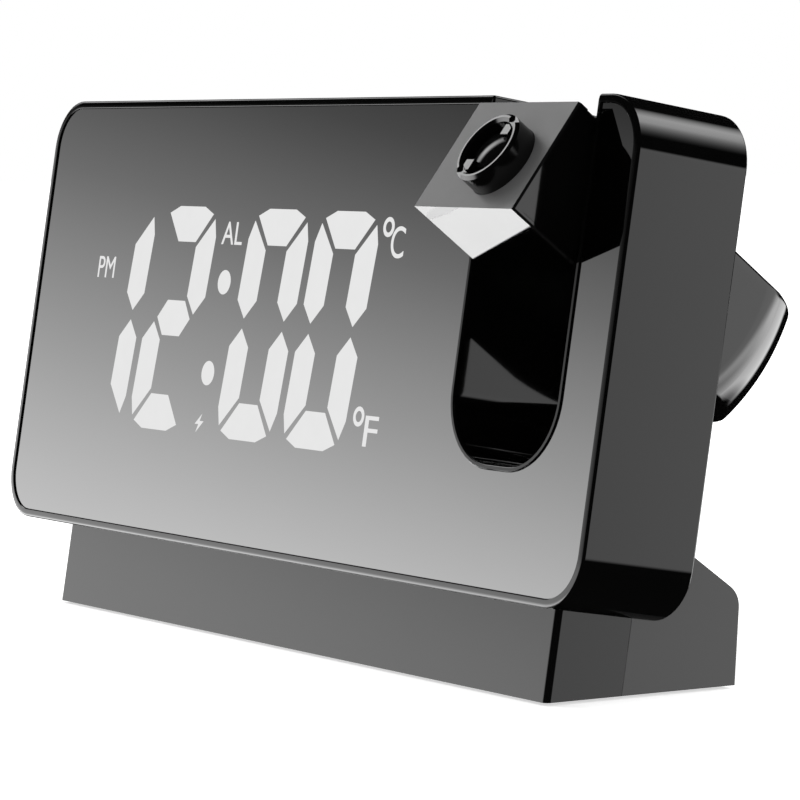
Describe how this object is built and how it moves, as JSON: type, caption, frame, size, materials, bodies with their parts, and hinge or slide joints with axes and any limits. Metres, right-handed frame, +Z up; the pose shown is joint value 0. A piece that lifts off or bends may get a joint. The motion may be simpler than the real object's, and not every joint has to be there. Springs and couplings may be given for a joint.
{
  "type": "projection alarm clock",
  "caption": "Leaning desk alarm clock with a mirrored segment display and a projector arm that pivots in a slot through the case.",
  "frame": {"origin": "on the ground under the middle of the clock's overall box, projector arm at rest", "axes": "+Z up, -Y towards the reader of the display, +X to the reader's right along the case's width"},
  "size_m": [0.19, 0.061, 0.0958],
  "materials": {
    "black_plastic": "moulded housing, smooth",
    "mirror_panel": "dark half-silvered acrylic",
    "cover_plastic": "fine spark texture",
    "mask_plastic": "light-tight black",
    "diffuser": "translucent white",
    "led_body": "white resin",
    "circuit_board": "solder mask",
    "chip_resin": "moulded resin",
    "nickel": "nickel plated",
    "capacitor_sleeve": "sleeved can",
    "screw_steel": "zinc plated",
    "stand_plastic": "satin moulded",
    "foot_rubber": "soft pads",
    "cell_jacket": "plain printed sleeve",
    "pin_acetal": "natural acetal",
    "lens_glass": "clear acrylic",
    "plate_grey": "dark grey plate"
  },
  "bodies": {
    "clock": {"case_shell": "black_plastic", "front_panel": "mirror_panel", "back_cover": "cover_plastic", "display_mask": "mask_plastic", "display_segments": "diffuser", "display_leds": "led_body", "main_board": "circuit_board", "clock_chips": "chip_resin", "crystal": "nickel", "capacitors": "capacitor_sleeve", "buzzer": "chip_resin", "temperature_sensor": "chip_resin", "power_inlet": "nickel", "tact_switches": "chip_resin", "cover_screws": "screw_steel", "board_screws": "screw_steel", "case_screws": "screw_steel", "stand_front": "stand_plastic", "stand_rear": "stand_plastic", "base_plate": "cover_plastic", "base_screws": "screw_steel", "rubber_feet": "foot_rubber", "battery_tray": "cover_plastic", "backup_cells": "cell_jacket", "cell_springs": "nickel", "cell_contacts": "nickel", "friction_washers": "nickel"},
    "projector_arm": {"arm_shell": "black_plastic", "lens_face_plate": "plate_grey", "optics_tube": "mask_plastic", "optics_spacer": "mask_plastic", "lcd_slide": "lens_glass", "condenser_lens": "lens_glass", "projector_board": "circuit_board", "projector_led": "led_body", "pivot_bush": "pin_acetal", "pivot_pin": "pin_acetal"},
    "focus_barrel": {"focus_ring": "black_plastic"},
    "lens_carrier": {"lens_cell": "mask_plastic", "projection_lens": "lens_glass"},
    "snooze_key": {"snooze_bar": "cover_plastic", "snooze_plunger": "pin_acetal"},
    "battery_cover": {"battery_door": "cover_plastic"},
    "key_mode": {"button_mode": "cover_plastic", "plunger_mode": "pin_acetal"},
    "key_set": {"button_set": "cover_plastic", "plunger_set": "pin_acetal"},
    "key_up": {"button_up": "cover_plastic", "plunger_up": "pin_acetal"},
    "key_down": {"button_down": "cover_plastic", "plunger_down": "pin_acetal"},
    "key_lamp": {"button_lamp": "cover_plastic", "plunger_lamp": "pin_acetal"}
  },
  "joints": [
    {"name": "arm_tilt", "type": "hinge", "parent": "clock", "child": "projector_arm", "pos_m": [0.06835, -0.00488, 0.07375], "axis": [-1, 0, 0], "range_deg": [-28.2, 151.8]},
    {"name": "focus_turn", "type": "hinge", "parent": "projector_arm", "child": "focus_barrel", "pos_m": [0.07165, -0.00627, 0.07192], "axis": [0, -0.7944, 0.6074], "range_deg": [-136, 136]},
    {"name": "lens_travel", "type": "slide", "parent": "projector_arm", "child": "lens_carrier", "axis": [0, -0.7944, 0.6074], "range_m": [-0.0009, 0.0009]},
    {"name": "snooze_press", "type": "slide", "parent": "clock", "child": "snooze_key", "axis": [0, -0.1599, -0.9871], "range_m": [0, 0.0008], "stiffness_N_per_m": 600, "springref_m": -0.0003},
    {"name": "mode_press", "type": "slide", "parent": "clock", "child": "key_mode", "axis": [0, -0.9871, 0.1599], "range_m": [0, 0.0006], "stiffness_N_per_m": 500, "springref_m": -0.0003},
    {"name": "set_press", "type": "slide", "parent": "clock", "child": "key_set", "axis": [0, -0.9871, 0.1599], "range_m": [0, 0.0006], "stiffness_N_per_m": 500, "springref_m": -0.0003},
    {"name": "up_press", "type": "slide", "parent": "clock", "child": "key_up", "axis": [0, -0.9871, 0.1599], "range_m": [0, 0.0006], "stiffness_N_per_m": 500, "springref_m": -0.0003},
    {"name": "down_press", "type": "slide", "parent": "clock", "child": "key_down", "axis": [0, -0.9871, 0.1599], "range_m": [0, 0.0006], "stiffness_N_per_m": 500, "springref_m": -0.0003},
    {"name": "lamp_press", "type": "slide", "parent": "clock", "child": "key_lamp", "axis": [0, -0.9871, 0.1599], "range_m": [0, 0.0006], "stiffness_N_per_m": 500, "springref_m": -0.0003},
    {"name": "battery_door_slide", "type": "slide", "parent": "clock", "child": "battery_cover", "axis": [0, 1, 0], "range_m": [0, 0.012]}
  ],
  "couplings": [
    {"joint": "focus_turn", "follows": "lens_travel", "rad_per_m": 2618}
  ]
}
